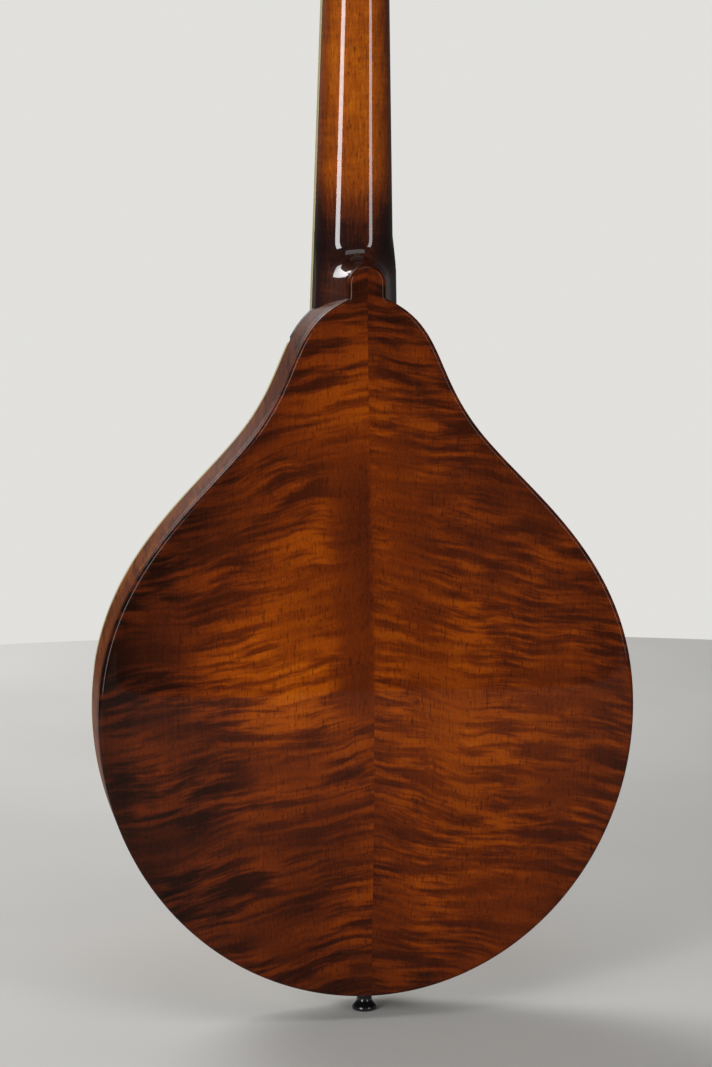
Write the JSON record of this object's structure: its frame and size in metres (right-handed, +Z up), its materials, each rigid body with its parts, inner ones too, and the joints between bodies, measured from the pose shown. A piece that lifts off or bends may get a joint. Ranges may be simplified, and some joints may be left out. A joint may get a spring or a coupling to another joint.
{
  "type": "mandolin",
  "caption": "Eight-string mandolin with a carved pear-shaped body, oval soundhole, arched flamed back, fretted neck and geared tuners.",
  "frame": {"origin": "centre of the strap button's outer face, which is the instrument's lowest point", "axes": "+Z up the body's centreline towards the neck, -Y out of the soundboard towards the strings, +X the treble side"},
  "size_m": [0.254, 0.1076, 0.6418],
  "materials": {
    "flamed_maple": "high gloss lacquer over a sunburst stain",
    "rib_maple": "high gloss lacquer over a dark brown stain",
    "neck_maple": "high gloss lacquer over an amber brown stain",
    "spruce": "gloss lacquer over a sunburst stain",
    "raw_wood": "unfinished",
    "ebony": "oiled satin",
    "ivoroid": "polished cream celluloid",
    "bone": "polished bone",
    "nickel_plate": "polished nickel plate",
    "brass": "turned and knurled",
    "plain_steel": "drawn bright",
    "wound_bronze": "bronze winding",
    "black_plastic": "moulded gloss"
  },
  "bodies": {
    "instrument": {"headplate": "ebony", "cover_screw_1": "nickel_plate", "cover_screw_2": "nickel_plate", "truss_rod_cover": "black_plastic", "tuner_plate_treble": "nickel_plate", "tuner_plate_bass": "nickel_plate", "neck": "neck_maple", "truss_rod": "plain_steel", "fingerboard": "ebony", "fingerboard_binding": "ivoroid", "nut": "bone", "back_plate": "flamed_maple", "soundboard": "spruce", "soundboard_brace": "raw_wood", "rib_treble": "rib_maple", "binding_treble": "ivoroid", "top_lining_treble": "raw_wood", "back_lining_treble": "raw_wood", "rib_bass": "rib_maple", "binding_bass": "ivoroid", "top_lining_bass": "raw_wood", "back_lining_bass": "raw_wood", "tail_block": "raw_wood", "head_block": "raw_wood", "string_g_1": "wound_bronze", "string_g_2": "wound_bronze", "string_d_1": "wound_bronze", "string_d_2": "wound_bronze", "string_a_1": "plain_steel", "string_a_2": "plain_steel", "string_e_1": "plain_steel", "string_e_2": "plain_steel", "bridge_stud_treble": "brass", "bridge_stud_bass": "brass", "bridge_base": "ebony", "tailpiece_frame": "nickel_plate", "strap_button": "black_plastic"},
    "key_treble_1": {"tuner_key_treble_1": "nickel_plate"},
    "post_treble_1": {"tuner_post_treble_1": "nickel_plate"},
    "key_treble_2": {"tuner_key_treble_2": "nickel_plate"},
    "post_treble_2": {"tuner_post_treble_2": "nickel_plate"},
    "key_treble_3": {"tuner_key_treble_3": "nickel_plate"},
    "post_treble_3": {"tuner_post_treble_3": "nickel_plate"},
    "key_treble_4": {"tuner_key_treble_4": "nickel_plate"},
    "post_treble_4": {"tuner_post_treble_4": "nickel_plate"},
    "key_bass_1": {"tuner_key_bass_1": "nickel_plate"},
    "post_bass_1": {"tuner_post_bass_1": "nickel_plate"},
    "key_bass_2": {"tuner_key_bass_2": "nickel_plate"},
    "post_bass_2": {"tuner_post_bass_2": "nickel_plate"},
    "key_bass_3": {"tuner_key_bass_3": "nickel_plate"},
    "post_bass_3": {"tuner_post_bass_3": "nickel_plate"},
    "key_bass_4": {"tuner_key_bass_4": "nickel_plate"},
    "post_bass_4": {"tuner_post_bass_4": "nickel_plate"},
    "saddle": {"bridge_saddle": "ebony"},
    "wheel_treble": {"thumbwheel_treble": "brass"},
    "wheel_bass": {"thumbwheel_bass": "brass"},
    "tail_cover": {"tailpiece_cover": "nickel_plate"},
    "truss_nut": {"truss_rod_nut": "brass"}
  },
  "joints": [
    {"name": "key_treble_1_turn", "type": "hinge", "parent": "instrument", "child": "key_treble_1", "pos_m": [0.0185, 0.02756, 0.54938], "axis": [1, 0, 0], "continuous": true},
    {"name": "post_treble_1_turn", "type": "hinge", "parent": "instrument", "child": "post_treble_1", "pos_m": [0.0185, 0.00728, 0.54921], "axis": [0, 0.9397, -0.342], "continuous": true},
    {"name": "key_treble_2_turn", "type": "hinge", "parent": "instrument", "child": "key_treble_2", "pos_m": [0.0185, 0.03536, 0.57081], "axis": [1, 0, 0], "continuous": true},
    {"name": "post_treble_2_turn", "type": "hinge", "parent": "instrument", "child": "post_treble_2", "pos_m": [0.0185, 0.01507, 0.57063], "axis": [0, 0.9397, -0.342], "continuous": true},
    {"name": "key_treble_3_turn", "type": "hinge", "parent": "instrument", "child": "key_treble_3", "pos_m": [0.0185, 0.04315, 0.59223], "axis": [1, 0, 0], "continuous": true},
    {"name": "post_treble_3_turn", "type": "hinge", "parent": "instrument", "child": "post_treble_3", "pos_m": [0.0185, 0.02287, 0.59205], "axis": [0, 0.9397, -0.342], "continuous": true},
    {"name": "key_treble_4_turn", "type": "hinge", "parent": "instrument", "child": "key_treble_4", "pos_m": [0.0185, 0.05095, 0.61365], "axis": [1, 0, 0], "continuous": true},
    {"name": "post_treble_4_turn", "type": "hinge", "parent": "instrument", "child": "post_treble_4", "pos_m": [0.0185, 0.03067, 0.61348], "axis": [0, 0.9397, -0.342], "continuous": true},
    {"name": "key_bass_1_turn", "type": "hinge", "parent": "instrument", "child": "key_bass_1", "pos_m": [-0.0185, 0.02756, 0.54938], "axis": [1, 0, 0], "continuous": true},
    {"name": "post_bass_1_turn", "type": "hinge", "parent": "instrument", "child": "post_bass_1", "pos_m": [-0.0185, 0.00728, 0.54921], "axis": [0, 0.9397, -0.342], "continuous": true},
    {"name": "key_bass_2_turn", "type": "hinge", "parent": "instrument", "child": "key_bass_2", "pos_m": [-0.0185, 0.03536, 0.57081], "axis": [1, 0, 0], "continuous": true},
    {"name": "post_bass_2_turn", "type": "hinge", "parent": "instrument", "child": "post_bass_2", "pos_m": [-0.0185, 0.01507, 0.57063], "axis": [0, 0.9397, -0.342], "continuous": true},
    {"name": "key_bass_3_turn", "type": "hinge", "parent": "instrument", "child": "key_bass_3", "pos_m": [-0.0185, 0.04315, 0.59223], "axis": [1, 0, 0], "continuous": true},
    {"name": "post_bass_3_turn", "type": "hinge", "parent": "instrument", "child": "post_bass_3", "pos_m": [-0.0185, 0.02287, 0.59205], "axis": [0, 0.9397, -0.342], "continuous": true},
    {"name": "key_bass_4_turn", "type": "hinge", "parent": "instrument", "child": "key_bass_4", "pos_m": [-0.0185, 0.05095, 0.61365], "axis": [1, 0, 0], "continuous": true},
    {"name": "post_bass_4_turn", "type": "hinge", "parent": "instrument", "child": "post_bass_4", "pos_m": [-0.0185, 0.03067, 0.61348], "axis": [0, 0.9397, -0.342], "continuous": true},
    {"name": "saddle_height", "type": "slide", "parent": "instrument", "child": "saddle", "axis": [0, 1, 0], "range_m": [0, 0.001]},
    {"name": "thumbwheel_treble_turn", "type": "hinge", "parent": "saddle", "child": "wheel_treble", "pos_m": [0.033, -0.0409, 0.16806], "axis": [0, 1, 0], "range_deg": [0, 514.3]},
    {"name": "thumbwheel_bass_turn", "type": "hinge", "parent": "saddle", "child": "wheel_bass", "pos_m": [-0.033, -0.0409, 0.16806], "axis": [0, 1, 0], "range_deg": [0, 514.3]},
    {"name": "tailpiece_cover_slide", "type": "slide", "parent": "instrument", "child": "tail_cover", "axis": [0, 0, -1], "range_m": [0, 0.05]},
    {"name": "truss_rod_nut_turn", "type": "hinge", "parent": "instrument", "child": "truss_nut", "pos_m": [0, 0.00223, 0.52278], "axis": [0, 0.1045, 0.9945], "range_deg": [-360, 360]}
  ],
  "couplings": [
    {"joint": "post_treble_1_turn", "follows": "key_treble_1_turn", "ratio": -0.071429},
    {"joint": "post_treble_2_turn", "follows": "key_treble_2_turn", "ratio": -0.071429},
    {"joint": "post_treble_3_turn", "follows": "key_treble_3_turn", "ratio": -0.071429},
    {"joint": "post_treble_4_turn", "follows": "key_treble_4_turn", "ratio": -0.071429},
    {"joint": "post_bass_1_turn", "follows": "key_bass_1_turn", "ratio": -0.071429},
    {"joint": "post_bass_2_turn", "follows": "key_bass_2_turn", "ratio": -0.071429},
    {"joint": "post_bass_3_turn", "follows": "key_bass_3_turn", "ratio": -0.071429},
    {"joint": "post_bass_4_turn", "follows": "key_bass_4_turn", "ratio": -0.071429},
    {"joint": "thumbwheel_treble_turn", "follows": "saddle_height", "rad_per_m": 8976},
    {"joint": "thumbwheel_bass_turn", "follows": "saddle_height", "rad_per_m": 8976}
  ]
}
